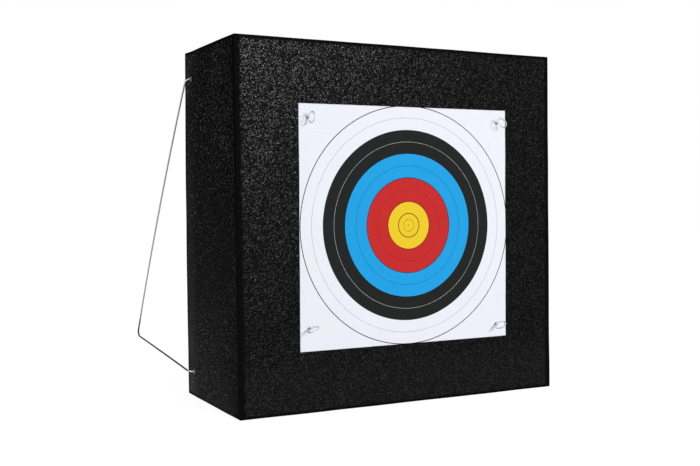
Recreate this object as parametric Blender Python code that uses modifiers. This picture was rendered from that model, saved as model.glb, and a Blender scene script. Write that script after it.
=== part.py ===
"""Archery target: a square foam block with a pinned paper face, propped up by a bent wire leg on each side.

Metres, +Z up. The origin is the centre of the block's underside. The shot face looks along -Y, the wire
legs stand out behind the block along +Y, and the left leg is at -X.
"""
from math import pi, radians, sin, tan

import bmesh
import bpy
from mathutils import Matrix, Quaternion, Vector

# Foam block
BLOCK_WIDTH = 0.600
BLOCK_DEPTH = 0.254
BLOCK_HEIGHT = 0.600
BLOCK_EDGE_RADIUS = 0.008
BLOCK_EDGE_STEPS = 4

# Printed paper face, pinned a little to the right of the block's middle
FACE_WIDTH = 0.400
FACE_HEIGHT = 0.400
FACE_THICKNESS = 0.0004
FACE_SHIFT_X = 0.0055
FACE_SHIFT_Z = -0.001
FACE_GAP = 0.0003

# Loop pins: a pointed shaft, a thin collar that holds the paper, a neck and an oval loop
PIN_SHAFT_DIAMETER = 0.003
PIN_DEPTH_IN_FOAM = 0.055
PIN_POINT_LENGTH = 0.008
PIN_POINT_FLAT = 0.0006
PIN_COLLAR_RIM = 0.0012
PIN_COLLAR_THICKNESS = 0.0010
PIN_COLLAR_GAP = 0.0003
PIN_NECK_LENGTH = 0.0025
PIN_NECK_DIAMETER = 0.0018
PIN_LOOP_WIDTH = 0.0196
PIN_LOOP_LENGTH = 0.0250
PIN_LOOP_BAR = 0.0024
PIN_HOLE_ROOM = 0.0003
PIN_HOLE_END_ROOM = 0.002

# Where each pin goes through the paper, measured in from the paper's edges, and its turn about its shaft
TOP_LEFT_PIN_FROM_SIDE = 0.0155
TOP_LEFT_PIN_FROM_TOP = 0.0240
TOP_LEFT_PIN_TURN = radians(88)
TOP_RIGHT_PIN_FROM_SIDE = 0.0195
TOP_RIGHT_PIN_FROM_TOP = 0.0230
TOP_RIGHT_PIN_TURN = radians(-62)
BOTTOM_LEFT_PIN_FROM_SIDE = 0.0155
BOTTOM_LEFT_PIN_FROM_BOTTOM = 0.0385
BOTTOM_LEFT_PIN_TURN = radians(28)
BOTTOM_RIGHT_PIN_FROM_SIDE = 0.0225
BOTTOM_RIGHT_PIN_FROM_BOTTOM = 0.0235
BOTTOM_RIGHT_PIN_TURN = radians(42)

# Wire legs: one bent wire a side, its two ends pushed into holes in the foam
WIRE_DIAMETER = 0.003
WIRE_IN_FOAM = 0.080
WIRE_STRAIGHT_PAST_WASHER = 0.0005
WIRE_BEND_RADIUS = 0.0085
WIRE_BEND_STEPS = 8
WIRE_HOLE_FROM_BACK = 0.038
WIRE_HOLE_FROM_TOP = 0.046
WIRE_HOLE_FROM_BOTTOM = 0.046
WIRE_HOLE_ROOM = 0.0003
WIRE_HOLE_END_ROOM = 0.002
FOOT_BEHIND_BLOCK = 0.300
FOOT_HEIGHT = 0.070
FOOT_BEND_RADIUS = 0.009
UPPER_RUN_BOW = 0.010
UPPER_RUN_POINTS = 11
LOWER_RUN_BOW = 0.002
LOWER_RUN_POINTS = 5

# Washers between the foam and each bend of the wire
WASHER_RIM_WIDTH = 0.0027
WASHER_THICKNESS = 0.0008
WASHER_GAP = 0.0003
WASHER_BORE_ROOM = 0.0003

# Roundness of the meshes
HOLE_SIDES = 24
SHAFT_SIDES = 16
LOOP_POINTS = 32
BEVEL_RESOLUTION = 2
MERGE_DISTANCE = 0.00001

# Places that several pieces share
BLOCK_FRONT = -BLOCK_DEPTH / 2
BLOCK_BACK = BLOCK_DEPTH / 2
BLOCK_SIDE = BLOCK_WIDTH / 2
FACE_BACK = BLOCK_FRONT - FACE_GAP
FACE_FRONT = FACE_BACK - FACE_THICKNESS
FACE_CENTRE_Z = BLOCK_HEIGHT / 2 + FACE_SHIFT_Z
PIN_SEAT = FACE_FRONT - PIN_COLLAR_GAP
PIN_SHAFT_LENGTH = PIN_COLLAR_GAP + FACE_THICKNESS + FACE_GAP + PIN_DEPTH_IN_FOAM
WIRE_HOLE_Y = BLOCK_BACK - WIRE_HOLE_FROM_BACK
WIRE_HOLE_TOP_Z = BLOCK_HEIGHT - WIRE_HOLE_FROM_TOP
WIRE_HOLE_BOTTOM_Z = WIRE_HOLE_FROM_BOTTOM
WASHER_OUTER = WASHER_GAP + WASHER_THICKNESS
LEG_PLANE = BLOCK_SIDE + WASHER_OUTER + WIRE_STRAIGHT_PAST_WASHER + WIRE_BEND_RADIUS

# Each pin's place as x and z, and its turn
PAPER_LEFT = FACE_SHIFT_X - FACE_WIDTH / 2
PAPER_RIGHT = FACE_SHIFT_X + FACE_WIDTH / 2
PAPER_TOP = FACE_CENTRE_Z + FACE_HEIGHT / 2
PAPER_BOTTOM = FACE_CENTRE_Z - FACE_HEIGHT / 2
PINS = {
    "pin_top_left": (
        PAPER_LEFT + TOP_LEFT_PIN_FROM_SIDE, PAPER_TOP - TOP_LEFT_PIN_FROM_TOP, TOP_LEFT_PIN_TURN,
    ),
    "pin_top_right": (
        PAPER_RIGHT - TOP_RIGHT_PIN_FROM_SIDE, PAPER_TOP - TOP_RIGHT_PIN_FROM_TOP, TOP_RIGHT_PIN_TURN,
    ),
    "pin_bottom_left": (
        PAPER_LEFT + BOTTOM_LEFT_PIN_FROM_SIDE, PAPER_BOTTOM + BOTTOM_LEFT_PIN_FROM_BOTTOM,
        BOTTOM_LEFT_PIN_TURN,
    ),
    "pin_bottom_right": (
        PAPER_RIGHT - BOTTOM_RIGHT_PIN_FROM_SIDE, PAPER_BOTTOM + BOTTOM_RIGHT_PIN_FROM_BOTTOM,
        BOTTOM_RIGHT_PIN_TURN,
    ),
}


def clear_scene():
    """Remove whatever the scene holds, so that each run starts from nothing."""
    for thing in list(bpy.data.objects):
        bpy.data.objects.remove(thing, do_unlink=True)


def new_collection(name):
    """A collection linked to the scene."""
    collection = bpy.data.collections.new(name)
    bpy.context.scene.collection.children.link(collection)
    return collection


def material(name, colour, roughness, metallic=0.0, alpha=1.0):
    """A Principled material with one colour."""
    made = bpy.data.materials.new(name)
    made.use_nodes = True
    shader = made.node_tree.nodes["Principled BSDF"]
    shader.inputs["Base Color"].default_value = (*colour, 1.0)
    shader.inputs["Roughness"].default_value = roughness
    shader.inputs["Metallic"].default_value = metallic
    shader.inputs["Alpha"].default_value = alpha
    made.diffuse_color = (*colour, alpha)
    return made


def add_object(name, data, collection, finish=None, parent=None):
    """An object for a mesh or curve, in its collection, with its material and its parent."""
    thing = bpy.data.objects.new(name, data)
    collection.objects.link(thing)
    if finish is not None:
        data.materials.clear()
        data.materials.append(finish)
    if parent is not None:
        thing.parent = parent
    return thing


def add_axis(name, place, collection):
    """An empty at the mouth of a slide, which the pieces that slide are parented to."""
    axis = bpy.data.objects.new(name, None)
    axis.empty_display_size = 0.03
    axis.location = place
    collection.objects.link(axis)
    return axis


def box_mesh(name, size):
    """A box centred on its origin."""
    mesh = bpy.data.meshes.new(name)
    shape = bmesh.new()
    bmesh.ops.create_cube(shape, size=1.0, matrix=Matrix.Diagonal((*size, 1.0)))
    shape.to_mesh(mesh)
    shape.free()
    return mesh


def cylinder_mesh(name, radius, length, sides):
    """A cylinder along Z, standing on its origin."""
    mesh = bpy.data.meshes.new(name)
    shape = bmesh.new()
    bmesh.ops.create_cone(
        shape, cap_ends=True, segments=sides, radius1=radius, radius2=radius, depth=length,
        matrix=Matrix.Translation((0.0, 0.0, length / 2)),
    )
    shape.to_mesh(mesh)
    shape.free()
    return mesh


def turned(name, profile, closed, sides, collection):
    """An object turned about Z from a profile of (radius, height) points, outer side from top to bottom."""
    mesh = bpy.data.meshes.new(name)
    edges = [(i, i + 1) for i in range(len(profile) - 1)]
    if closed:
        edges.append((len(profile) - 1, 0))
    mesh.from_pydata([(radius, 0.0, height) for radius, height in profile], edges, [])
    thing = add_object(name, mesh, collection)
    screw = thing.modifiers.new("turn", "SCREW")
    screw.axis = "Z"
    screw.angle = 2 * pi
    screw.steps = sides
    screw.render_steps = sides
    screw.use_merge_vertices = True
    screw.merge_threshold = MERGE_DISTANCE
    return thing


def wire_curve(name, points, diameter, cyclic=False):
    """A round bar that follows a list of points."""
    curve = bpy.data.curves.new(name, "CURVE")
    curve.dimensions = "3D"
    curve.bevel_depth = diameter / 2
    curve.bevel_resolution = BEVEL_RESOLUTION
    curve.use_fill_caps = not cyclic
    spline = curve.splines.new("POLY")
    spline.points.add(len(points) - 1)
    for knot, point in zip(spline.points, points):
        knot.co = (*point, 1.0)
    spline.use_cyclic_u = cyclic
    return curve


def solid_mesh(thing, name):
    """The mesh of an object as its modifiers leave it, with loose seams welded."""
    evaluated = thing.evaluated_get(bpy.context.evaluated_depsgraph_get())
    mesh = bpy.data.meshes.new_from_object(evaluated)
    mesh.name = name
    shape = bmesh.new()
    shape.from_mesh(mesh)
    bmesh.ops.remove_doubles(shape, verts=shape.verts, dist=MERGE_DISTANCE)
    shape.to_mesh(mesh)
    shape.free()
    return mesh


def add_boolean(thing, cutter, operation):
    """Cut or join a piece with another object."""
    step = thing.modifiers.new(cutter.name, "BOOLEAN")
    step.operation = operation
    step.solver = "EXACT"
    step.object = cutter
    return step


def bowed_run(start, end, bow, outward, count):
    """Points between two corners, off the straight line by a parabola whose middle stands out by the bow."""
    shares = [(i + 1) / (count + 1) for i in range(count)]
    return [start.lerp(end, share) + outward * (bow * 4 * share * (1 - share)) for share in shares]


def rounded_corner(before, corner, after, radius, steps):
    """Points on the arc that rounds a corner between two neighbours."""
    back = (before - corner).normalized()
    onward = (after - corner).normalized()
    half_angle = back.angle(onward) / 2
    centre = corner + (back + onward).normalized() * (radius / sin(half_angle))
    start = corner + back * (radius / tan(half_angle))
    finish = corner + onward * (radius / tan(half_angle))
    axis = (start - centre).cross(finish - centre)
    swing = pi - 2 * half_angle
    return [centre + Quaternion(axis, swing * i / steps) @ (start - centre) for i in range(steps + 1)]


def leg_points(side):
    """The wire's centre line for one side, from inside the upper hole to inside the lower one."""
    inner = side * (BLOCK_SIDE - WIRE_IN_FOAM)
    plane = side * LEG_PLANE
    top_inner = Vector((inner, WIRE_HOLE_Y, WIRE_HOLE_TOP_Z))
    top_corner = Vector((plane, WIRE_HOLE_Y, WIRE_HOLE_TOP_Z))
    foot = Vector((plane, BLOCK_BACK + FOOT_BEHIND_BLOCK, FOOT_HEIGHT))
    low_corner = Vector((plane, WIRE_HOLE_Y, WIRE_HOLE_BOTTOM_Z))
    low_inner = Vector((inner, WIRE_HOLE_Y, WIRE_HOLE_BOTTOM_Z))
    along_x = Vector((1.0, 0.0, 0.0))
    up_and_back = (foot - top_corner).cross(along_x).normalized()
    if up_and_back.y < 0:
        up_and_back.negate()
    down = (low_corner - foot).cross(along_x).normalized()
    if down.z > 0:
        down.negate()
    upper = bowed_run(top_corner, foot, UPPER_RUN_BOW, up_and_back, UPPER_RUN_POINTS)
    lower = bowed_run(foot, low_corner, LOWER_RUN_BOW, down, LOWER_RUN_POINTS)
    return [
        top_inner,
        *rounded_corner(top_inner, top_corner, upper[0], WIRE_BEND_RADIUS, WIRE_BEND_STEPS),
        *upper,
        *rounded_corner(upper[-1], foot, lower[0], FOOT_BEND_RADIUS, WIRE_BEND_STEPS),
        *lower,
        *rounded_corner(lower[-1], low_corner, low_inner, WIRE_BEND_RADIUS, WIRE_BEND_STEPS),
        low_inner,
    ]


def build_pin_cutters(cutters):
    """One drill for each pin, through the paper and into the foam."""
    length = PIN_SHAFT_LENGTH + PIN_HOLE_END_ROOM
    mesh = cylinder_mesh("pin_hole", PIN_SHAFT_DIAMETER / 2 + PIN_HOLE_ROOM, length, HOLE_SIDES)
    made = []
    for name, (x, z, _) in PINS.items():
        cutter = add_object(f"hole_for_{name}", mesh, cutters)
        cutter.location = (x, PIN_SEAT, z)
        cutter.rotation_euler = (-pi / 2, 0.0, 0.0)
        made.append(cutter)
    return made


def build_wire_cutters(cutters):
    """One drill for each end of a leg, from a side face into the foam."""
    length = WIRE_IN_FOAM + WIRE_HOLE_END_ROOM
    overshoot = WASHER_GAP
    radius = WIRE_DIAMETER / 2 + WIRE_HOLE_ROOM
    mesh = cylinder_mesh("wire_hole", radius, length + overshoot, HOLE_SIDES)
    made = []
    for side, side_name in ((-1, "left"), (1, "right")):
        for z, end_name in ((WIRE_HOLE_TOP_Z, "top"), (WIRE_HOLE_BOTTOM_Z, "bottom")):
            cutter = add_object(f"hole_{side_name}_{end_name}", mesh, cutters)
            cutter.location = (side * (BLOCK_SIDE + overshoot), WIRE_HOLE_Y, z)
            cutter.rotation_euler = (0.0, -side * pi / 2, 0.0)
            made.append(cutter)
    return made


def hide_cutters(made):
    """Show the drills as wires only."""
    for cutter in made:
        cutter.hide_render = True
        cutter.display_type = "WIRE"


def build_block(parts, drills):
    """The foam block: a box with rounded edges and blind holes for the pins and the wires."""
    foam = material("black foam", (0.012, 0.012, 0.012), 0.85)
    mesh = box_mesh("foam_block", (BLOCK_WIDTH, BLOCK_DEPTH, BLOCK_HEIGHT))
    block = add_object("foam_block", mesh, parts, foam)
    block.location = (0.0, 0.0, BLOCK_HEIGHT / 2)
    rounding = block.modifiers.new("rounded edges", "BEVEL")
    rounding.width = BLOCK_EDGE_RADIUS
    rounding.segments = BLOCK_EDGE_STEPS
    for drill in drills:
        add_boolean(block, drill, "DIFFERENCE")
    return block


def build_face(parts, axis, drills):
    """The paper sheet, with a hole for each pin."""
    paper = material("printed paper", (0.84, 0.87, 0.93), 0.6)
    mesh = box_mesh("target_face", (FACE_WIDTH, FACE_THICKNESS, FACE_HEIGHT))
    face = add_object("target_face", mesh, parts, paper, axis)
    face.location = (0.0, -FACE_GAP - FACE_THICKNESS / 2, 0.0)
    for drill in drills:
        add_boolean(face, drill, "DIFFERENCE")
    return face


def pin_mesh(cutters):
    """One pin along Z, its collar's seat at the origin and its loop above, as one joined mesh."""
    shaft_radius = PIN_SHAFT_DIAMETER / 2
    collar_radius = shaft_radius + PIN_COLLAR_RIM
    bar_centre = PIN_COLLAR_THICKNESS + PIN_NECK_LENGTH + PIN_LOOP_BAR / 2
    profile = [
        (0.0, bar_centre),
        (PIN_NECK_DIAMETER / 2, bar_centre),
        (shaft_radius, PIN_COLLAR_THICKNESS),
        (collar_radius, PIN_COLLAR_THICKNESS),
        (collar_radius, 0.0),
        (shaft_radius, 0.0),
        (shaft_radius, PIN_POINT_LENGTH - PIN_SHAFT_LENGTH),
        (PIN_POINT_FLAT / 2, -PIN_SHAFT_LENGTH),
        (0.0, -PIN_SHAFT_LENGTH),
    ]
    shaft = turned("pin_shaft", profile, False, SHAFT_SIDES, cutters)
    across = (PIN_LOOP_WIDTH - PIN_LOOP_BAR) / 2
    along = (PIN_LOOP_LENGTH - PIN_LOOP_BAR) / 2
    turns = [2 * pi * i / LOOP_POINTS for i in range(LOOP_POINTS)]
    oval = [(across * sin(t), 0.0, bar_centre + along - along * sin(pi / 2 - t)) for t in turns]
    bar = add_object("pin_loop", wire_curve("pin_loop", oval, PIN_LOOP_BAR, cyclic=True), cutters)
    loop = add_object("pin_loop_solid", solid_mesh(bar, "pin_loop_solid"), cutters)
    add_boolean(shaft, loop, "UNION")
    mesh = solid_mesh(shaft, "loop_pin")
    for helper in (shaft, bar, loop):
        bpy.data.objects.remove(helper, do_unlink=True)
    return mesh


def build_pins(parts, axis, cutters):
    """Four pins that share one mesh, each turned its own way about its shaft."""
    plastic = material("clear plastic", (0.80, 0.82, 0.82), 0.25, alpha=0.6)
    mesh = pin_mesh(cutters)
    mesh.shade_smooth()
    mesh.set_sharp_from_angle(angle=radians(40))
    for name, (x, z, turn) in PINS.items():
        pin = add_object(name, mesh, parts, plastic, axis)
        place = Vector((x, PIN_SEAT, z)) - Vector(axis.location)
        head_forward = Matrix.Rotation(pi / 2, 4, "X")
        pin.matrix_local = Matrix.Translation(place) @ head_forward @ Matrix.Rotation(turn, 4, "Z")


def build_washer(name, side, axis, height, steel, parts):
    """A flat washer on the wire, against the foam's side face."""
    bore = WIRE_DIAMETER / 2 + WASHER_BORE_ROOM
    rim = bore + WASHER_RIM_WIDTH
    half = WASHER_THICKNESS / 2
    profile = [(rim, half), (rim, -half), (bore, -half), (bore, half)]
    washer = turned(name, profile, True, HOLE_SIDES, parts)
    washer.data.materials.append(steel)
    washer.parent = axis
    washer.location = (side * (WASHER_GAP + half), 0.0, height - WIRE_HOLE_TOP_Z)
    washer.rotation_euler = (0.0, pi / 2, 0.0)


def build_legs(parts):
    """A bent wire with its two washers on each side of the block."""
    steel = material("zinc plated wire", (0.60, 0.60, 0.58), 0.35, metallic=1.0)
    washer_steel = material("zinc plated washer", (0.50, 0.50, 0.49), 0.45, metallic=1.0)
    for side, side_name in ((-1, "left"), (1, "right")):
        mouth = Vector((side * BLOCK_SIDE, WIRE_HOLE_Y, WIRE_HOLE_TOP_Z))
        axis = add_axis(f"slide_{side_name}", mouth, parts)
        points = [point - mouth for point in leg_points(side)]
        name = f"leg_{side_name}"
        add_object(name, wire_curve(name, points, WIRE_DIAMETER), parts, steel, axis)
        for height, end_name in ((WIRE_HOLE_TOP_Z, "top"), (WIRE_HOLE_BOTTOM_Z, "bottom")):
            washer_name = f"washer_{side_name}_{end_name}"
            build_washer(washer_name, side, axis, height, washer_steel, parts)


def main():
    """Build the whole target."""
    clear_scene()
    parts = new_collection("archery_target")
    cutters = new_collection("cutters")
    pin_drills = build_pin_cutters(cutters)
    wire_drills = build_wire_cutters(cutters)
    hide_cutters(pin_drills + wire_drills)
    build_block(parts, pin_drills + wire_drills)
    face_axis = add_axis("slide_face", (FACE_SHIFT_X, BLOCK_FRONT, FACE_CENTRE_Z), parts)
    build_face(parts, face_axis, pin_drills)
    build_pins(parts, face_axis, cutters)
    build_legs(parts)


main()
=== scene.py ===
# %% [markdown]
# # A foam archery target with a pinned paper face
#
# The real thing is a block of black foam, 600 mm square and 254 mm deep. Four clear plastic loop pins hold a
# printed paper face on its front. A bent steel wire on each side, with a washer where each of its ends goes
# into the foam, props the block up from behind.
#
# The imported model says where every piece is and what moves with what. This file gives each piece the surface
# that the eye expects: pebbled foam, a slightly wavy sheet of print, clear plastic and drawn wire. Everything
# is in metres, with Z up, the shot face along -Y and the wire legs along +Y.

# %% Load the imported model
from math import pi, radians

import bpy
import numpy as np
from mathutils import Matrix, Vector


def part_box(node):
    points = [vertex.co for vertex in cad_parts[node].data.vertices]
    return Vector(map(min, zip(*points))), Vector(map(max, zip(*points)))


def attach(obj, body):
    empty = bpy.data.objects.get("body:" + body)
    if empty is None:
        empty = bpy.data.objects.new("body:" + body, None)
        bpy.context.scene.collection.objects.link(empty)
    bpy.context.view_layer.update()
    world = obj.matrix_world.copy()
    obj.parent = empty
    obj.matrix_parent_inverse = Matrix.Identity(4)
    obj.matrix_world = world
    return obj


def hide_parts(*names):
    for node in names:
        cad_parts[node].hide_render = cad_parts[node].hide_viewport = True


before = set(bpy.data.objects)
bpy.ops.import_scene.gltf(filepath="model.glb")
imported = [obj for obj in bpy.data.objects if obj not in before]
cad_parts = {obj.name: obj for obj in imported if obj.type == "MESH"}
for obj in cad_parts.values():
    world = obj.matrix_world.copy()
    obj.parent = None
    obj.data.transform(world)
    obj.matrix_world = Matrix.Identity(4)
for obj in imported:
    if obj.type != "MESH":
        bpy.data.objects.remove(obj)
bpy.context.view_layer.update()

# %% [markdown]
# ## The camera
#
# The photograph was taken from the front left, a little above the middle of the block. A camera could be
# placed by eye, but a box of known size fits only one, so its place, turn and lens were worked out from the
# straight edges of the block and of the paper. It looks along its own -Z, so the first turn, just under a
# right angle about X, makes it look forwards and slightly down.

# %% Place the camera
CAMERA_PLACE = (-0.8483, -1.5943, 0.3463)
CAMERA_TURN = (radians(88.023), radians(0.362), radians(-26.916))
CAMERA_LENS_MM = 51.76

scene = bpy.context.scene
scene.view_settings.view_transform = "Standard"
lens = bpy.data.cameras.new("camera")
lens.lens = CAMERA_LENS_MM
camera = bpy.data.objects.new("camera", lens)
camera.location = CAMERA_PLACE
camera.rotation_euler = CAMERA_TURN
scene.collection.objects.link(camera)
scene.camera = camera
print("camera at", CAMERA_PLACE)

# %% [markdown]
# ## Writing shader maths as expressions
#
# A finish is a small network of nodes, and much of it is arithmetic: how far a point is from a centre, and
# whether that lies between two radii. The class below wraps an output of a node, so that Python's own
# operators add the nodes: with a socket called mask, 1 - mask makes a Math node set to subtract. Colours
# don't go through it, because a Math node would turn them grey.

# %% A socket that does arithmetic
def math_method(operation, swapped=False):
    """A method that adds a Math node for its socket and for the other term, if there is one."""
    def method(socket, *other):
        terms = (*other, socket) if swapped else (socket, *other)
        return socket.finish.node("Math", {"operation": operation}, dict(enumerate(terms)))
    return method


class Socket:
    """An output of a shader node. Each operator between sockets and numbers adds one Math node."""

    __add__ = __radd__ = math_method("ADD")
    __sub__ = math_method("SUBTRACT")
    __rsub__ = math_method("SUBTRACT", swapped=True)
    __mul__ = __rmul__ = math_method("MULTIPLY")
    __abs__ = math_method("ABSOLUTE")
    minimum = math_method("MINIMUM")

    def __init__(self, finish, output):
        self.finish = finish
        self.output = output

    def rise(self, start, end, low=0.0, high=1.0):
        """A smooth climb from low to high while this value goes from start to end, level on both sides."""
        return self.finish.node("MapRange", {"interpolation_type": "SMOOTHSTEP"}, {
            "Value": self, "From Min": start, "From Max": end, "To Min": low, "To Max": high,
        })


# %% A finish and its nodes
class Finish:
    """A network of shader nodes under construction, for a material or for the world."""

    def __init__(self, name, owner=None):
        self.owner = owner or bpy.data.materials.new(name)
        self.owner.use_nodes = True
        self.tree = self.owner.node_tree
        self.tree.nodes.clear()

    def node(self, kind, settings=None, inputs=None, output=None):
        """Add a node of a type, with its settings and what its sockets hold. Gives one of its outputs."""
        made = self.tree.nodes.new(f"ShaderNode{kind}")
        for name, value in (settings or {}).items():
            setattr(made, name, value)
        open_inputs = [socket for socket in made.inputs if socket.enabled]
        named = {socket.name: socket for socket in reversed(open_inputs)}
        for name, value in (inputs or {}).items():
            socket = open_inputs[name] if isinstance(name, int) else named[name]
            if isinstance(value, Socket):
                self.tree.links.new(value.output, socket)
            else:
                socket.default_value = value
        outputs = [socket for socket in made.outputs if socket.enabled and output in (None, socket.name)]
        return Socket(self, outputs[0]) if outputs else None

    def place(self, centre=(0.0, 0.0, 0.0)):
        """Where a point of the piece is, in metres, counted from a centre."""
        point = self.node("TexCoord", output="Object")
        return self.node("Mapping", inputs={"Vector": point, "Location": tuple(-c for c in centre)})

    def split(self, vector):
        """The three numbers of a vector."""
        first = self.node("SeparateXYZ", inputs={0: vector})
        return [Socket(self, output) for output in first.output.node.outputs]

    def blend(self, mask, first, second, way="MIX"):
        """The first colour where the mask is 0. Where it is 1, the second, or with MULTIPLY their product."""
        sockets = {"Factor": mask, "A": first, "B": second}
        return self.node("Mix", {"data_type": "RGBA", "blend_type": way}, sockets)

    def noise(self, place, scale, detail, roughness=0.5):
        """Soft random values round 0.5, scale of them to a metre."""
        sockets = {"Vector": place, "Scale": scale, "Detail": detail, "Roughness": roughness}
        return self.node("TexNoise", inputs=sockets)

    def bump(self, height, distance, strength):
        """The normal of a surface raised by a height from 0 to 1, of which 1 stands for the distance."""
        return self.node("Bump", inputs={"Height": height, "Distance": distance, "Strength": strength})

    def surface(self, shader, kind="OutputMaterial"):
        """End the network in its output."""
        self.node(kind, inputs={"Surface": shader})
        return self.owner


# %% Colours from screen values
def srgb(red, green, blue):
    """A colour that is given in screen values from 0 to 255, as the linear values that a shader works in."""
    values = np.array([red, green, blue]) / 255
    linear = np.where(values <= 0.04045, values / 12.92, ((values + 0.055) / 1.055) ** 2.4)
    return (*linear.tolist(), 1.0)


print("white paper in linear values:", [round(c, 3) for c in srgb(239, 241, 249)[:3]])

# %% [markdown]
# ## A white room and three soft lamps
#
# The photograph shows the target against plain white, yet the foam's side is nearly black and the shadow on
# the ground is hardly seen. A white room that also lit the object would wash it out. The Light Path node
# tells what a ray is for, so the room is white where the camera, a mirror or clear plastic looks at it, and
# much dimmer where it only lights something.
#
# The front lamp stands almost straight ahead, as the faint shadows behind the pins' loops show. A mirror on
# the front face would show the sheen lamp at the block's upper left, where the granules sparkle most. The two
# give the front 0.64 of full light and the dim room most of the rest, so a colour renders about as it is
# written. The back lamp, wide and weak, gives the left side its sheen.

# %% The room
ROOM_LIGHT = 0.30
WHITE = (1.0, 1.0, 1.0, 1.0)


def looks_directly(finish):
    """1 for a ray from the camera, a mirror or clear plastic, and 0 for a ray that gathers light."""
    kinds = ("Is Camera Ray", "Is Glossy Ray", "Is Transmission Ray")
    camera_ray, glossy_ray, clear_ray = [finish.node("LightPath", output=kind) for kind in kinds]
    return (camera_ray + glossy_ray + clear_ray).minimum(1.0)


room = Finish("room", bpy.data.worlds.new("room"))
brightness = looks_directly(room) * (1.0 - ROOM_LIGHT) + ROOM_LIGHT
white_room = room.node("Background", inputs={"Color": WHITE, "Strength": brightness})
scene.world = room.surface(white_room, "OutputWorld")
print("room light:", ROOM_LIGHT)

# %% The lamps
FRONT_AIM = (0.0, -0.127, 0.30)
SIDE_AIM = (-0.30, 0.0, 0.30)
# The place, aim, width and share of full light of each lamp
LAMPS = {
    "front_lamp": ((0.51, -5.18, 1.06), FRONT_AIM, 1.30, 0.31),
    "sheen_lamp": ((1.82, -5.18, 1.86), FRONT_AIM, 1.60, 0.33),
    "back_lamp": ((-1.05, 3.40, 0.75), SIDE_AIM, 1.60, 0.05),
}


def add_lamp(name, place, aim, size, share):
    """A round lamp that gives a surface at its aim, turned to face it, that share of full light.

    Full light is pi watts to the square metre. A small flat lamp of power P gives P / (pi d²) at distance d.
    """
    to_aim = Vector(aim) - Vector(place)
    data = bpy.data.lights.new(name, "AREA")
    data.shape = "DISK"
    data.size = size
    data.energy = share * pi ** 2 * to_aim.length_squared
    lamp = bpy.data.objects.new(name, data)
    lamp.location = place
    lamp.rotation_euler = to_aim.to_track_quat("-Z", "Y").to_euler()
    scene.collection.objects.link(lamp)
    print(name, round(data.energy, 1), "W")


for name, (place, aim, size, share) in LAMPS.items():
    add_lamp(name, place, aim, size, share)

# %% [markdown]
# ## From arrays to a mesh
#
# Every new piece below is a grid of points worked out by numpy as one array. One helper numbers the corners
# of each square of a grid, and the next closes a tube of rings by a point at each end. Another hands points
# and faces to Blender, and turns a closed shape the right way out if its volume comes out negative. The last
# one gives a piece its material and body, and hides the solid it replaces.

# %% Grids, poles and meshes
def grid_faces(rows, columns, wrap_rows=False, wrap_columns=False):
    """The squares of a grid. Square (i, j) joins points (i, j), (i, j+1), (i+1, j+1) and (i+1, j)."""
    number = np.arange(rows * columns).reshape(rows, columns)
    if wrap_rows:
        number = np.concatenate([number, number[:1]], axis=0)
    if wrap_columns:
        number = np.concatenate([number, number[:, :1]], axis=1)
    corners = number[:-1, :-1], number[:-1, 1:], number[1:, 1:], number[1:, :-1]
    return np.stack(corners, axis=-1).reshape(-1, 4)


def capped_tube(rings):
    """Points and faces of a tube from its rings, an array (rings, sides, 3), closed by a point at each end.

    The two poles are the middles of the first and last ring, each joined to its ring by a fan of triangles.
    """
    count, sides = rings.shape[:2]
    points = np.concatenate([rings.reshape(-1, 3), [rings[0].mean(0), rings[-1].mean(0)]])
    around = np.arange(sides)
    onward = (around + 1) % sides
    first, last = count * sides, count * sides + 1
    start = np.stack([np.full(sides, first), onward, around], axis=1)
    end = np.stack([np.full(sides, last), around, onward], axis=1)
    end[:, 1:] += (count - 1) * sides
    return points, [grid_faces(count, sides, wrap_columns=True), start, end]


# %% A Blender mesh from points and faces
def signed_volume(points, faces):
    """Six times the volume inside a closed mesh: the sum of each triangle's triple product."""
    total = 0.0
    for group in faces:
        corners = points[group]
        for i in range(1, group.shape[1] - 1):
            turned = np.cross(corners[:, i], corners[:, i + 1])
            total += (corners[:, 0] * turned).sum()
    return total


def new_mesh(name, points, faces, closed=True):
    """A smooth mesh object from points (n, 3) and a list of face arrays, each (m, corners)."""
    if closed and signed_volume(points, faces) < 0:
        faces = [group[:, ::-1] for group in faces]
    sizes = np.concatenate([np.full(len(group), group.shape[1]) for group in faces])
    mesh = bpy.data.meshes.new(name)
    mesh.vertices.add(len(points))
    mesh.vertices.foreach_set("co", np.ascontiguousarray(points, np.float32).ravel())
    mesh.loops.add(int(sizes.sum()))
    mesh.loops.foreach_set("vertex_index", np.concatenate([g.ravel() for g in faces]).astype(np.int32))
    mesh.polygons.add(len(sizes))
    mesh.polygons.foreach_set("loop_start", (np.cumsum(sizes) - sizes).astype(np.int32))
    mesh.update(calc_edges=True)
    mesh.shade_smooth()
    piece = bpy.data.objects.new(name, mesh)
    scene.collection.objects.link(piece)
    print(f"{name}: {len(points)} points, {len(sizes)} faces")
    return piece


# %% What every piece is given
def dress(piece, material, body, solid):
    """Give a piece its material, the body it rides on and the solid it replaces."""
    piece.data.materials.append(material)
    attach(piece, body)
    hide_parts(solid)
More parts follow.
